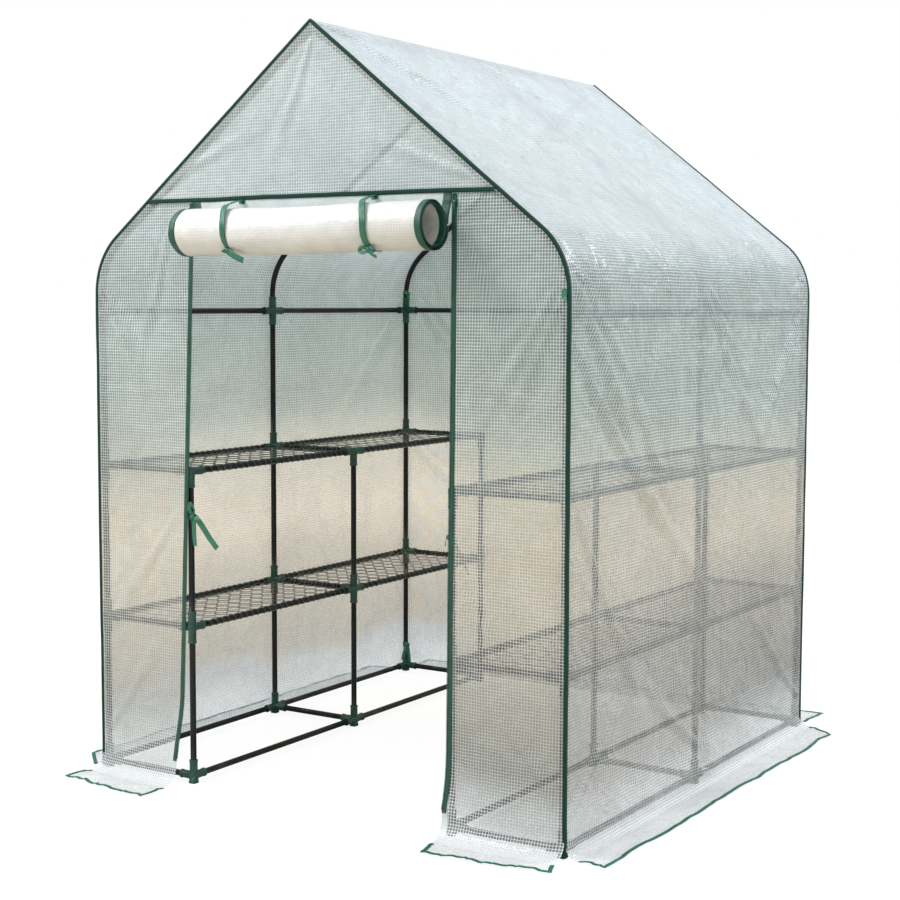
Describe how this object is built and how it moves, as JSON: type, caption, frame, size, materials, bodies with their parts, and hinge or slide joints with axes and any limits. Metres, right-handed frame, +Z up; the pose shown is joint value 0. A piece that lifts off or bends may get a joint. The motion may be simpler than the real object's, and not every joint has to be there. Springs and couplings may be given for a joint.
{
  "type": "walk-in greenhouse",
  "caption": "Walk-in garden greenhouse: pushed-together steel tube frame with mesh shelves, rounded eaves, a scrim-reinforced translucent cover and a zip door rolled up under the gable.",
  "frame": {"origin": "centre of the footprint, skirts included, on the ground", "axes": "+Z up, +X to the right seen from the front, -Y towards the door side"},
  "size_m": [1.68, 1.81, 1.9398],
  "materials": {
    "tube_paint": "gloss dark green coating on steel tube",
    "connector_plastic": "satin moulded",
    "shelf_wire": "plastic-coated wire",
    "cover_sheet": "white scrim between clear films",
    "skirt_sheet": "white scrim between clear films",
    "door_sheet": "white scrim between clear films, rolled up",
    "binding_tape": "woven tape",
    "zip_tape": "woven tape with moulded teeth",
    "zip_metal": "painted",
    "ribbon": "satin ribbon"
  },
  "bodies": {
    "frame_and_cover": {"back_arch_binding": "binding_tape", "back_eave_rail": "tube_paint", "base_cross_tubes": "tube_paint", "base_rails_inner": "tube_paint", "base_rails_outer": "tube_paint", "corner_ties": "ribbon", "cover_back": "cover_sheet", "cover_front_gable": "cover_sheet", "cover_front_left": "cover_sheet", "cover_front_right": "cover_sheet", "cover_side_left": "cover_sheet", "cover_side_right": "cover_sheet", "door_panel_top": "door_sheet", "door_strap_left": "ribbon", "door_strap_right": "ribbon", "eave_bend_tubes": "tube_paint", "eave_connectors": "connector_plastic", "foot_connectors": "connector_plastic", "front_arch_binding": "binding_tape", "header_binding": "binding_tape", "lower_shelf_connectors": "connector_plastic", "lower_shelf_cross_tubes": "tube_paint", "lower_shelf_rails": "tube_paint", "post_ties": "ribbon", "post_tubes_lower": "tube_paint", "post_tubes_middle": "tube_paint", "post_tubes_upper": "tube_paint", "rafter_tubes": "tube_paint", "ridge_connectors": "connector_plastic", "ridge_tubes": "tube_paint", "shelf_mesh_lower_left_back": "shelf_wire", "shelf_mesh_lower_left_front": "shelf_wire", "shelf_mesh_lower_right_back": "shelf_wire", "shelf_mesh_lower_right_front": "shelf_wire", "shelf_mesh_upper_left_back": "shelf_wire", "shelf_mesh_upper_left_front": "shelf_wire", "shelf_mesh_upper_right_back": "shelf_wire", "shelf_mesh_upper_right_front": "shelf_wire", "side_eave_rails": "tube_paint", "skirt_back": "skirt_sheet", "skirt_bindings": "binding_tape", "skirt_front_left": "skirt_sheet", "skirt_front_right": "skirt_sheet", "skirt_left": "skirt_sheet", "skirt_right": "skirt_sheet", "upper_shelf_connectors": "connector_plastic", "upper_shelf_cross_tubes": "tube_paint", "upper_shelf_rails": "tube_paint", "zip_tape_left": "zip_tape", "zip_tape_right": "zip_tape"},
    "door_roll": {"door_roll": "door_sheet"},
    "zip_slider_left": {"zip_slider_left": "zip_metal"},
    "zip_slider_right": {"zip_slider_right": "zip_metal"},
    "zip_pull_left": {"zip_pull_left": "zip_metal"},
    "zip_pull_right": {"zip_pull_right": "zip_metal"}
  },
  "joints": [
    {"name": "door_drop", "type": "slide", "parent": "frame_and_cover", "child": "door_roll", "axis": [0, 0, -1], "range_m": [0, 1.365], "deforming": ["door_panel_top", "door_strap_left", "door_strap_right"]},
    {"name": "zip_left", "type": "slide", "parent": "frame_and_cover", "child": "zip_slider_left", "axis": [-0.04, 0, -0.9992], "range_m": [0, 1.39]},
    {"name": "zip_right", "type": "slide", "parent": "frame_and_cover", "child": "zip_slider_right", "axis": [-0.0093, 0, -1], "range_m": [0, 1.39]},
    {"name": "zip_pull_left_swing", "type": "hinge", "parent": "zip_slider_left", "child": "zip_pull_left", "pos_m": [-0.3804, -0.7413, 1.492], "axis": [-1, 0, 0], "range_deg": [0, 150]},
    {"name": "zip_pull_right_swing", "type": "hinge", "parent": "zip_slider_right", "child": "zip_pull_right", "pos_m": [0.41691, -0.7413, 1.492], "axis": [-1, 0, 0], "range_deg": [0, 150]}
  ]
}
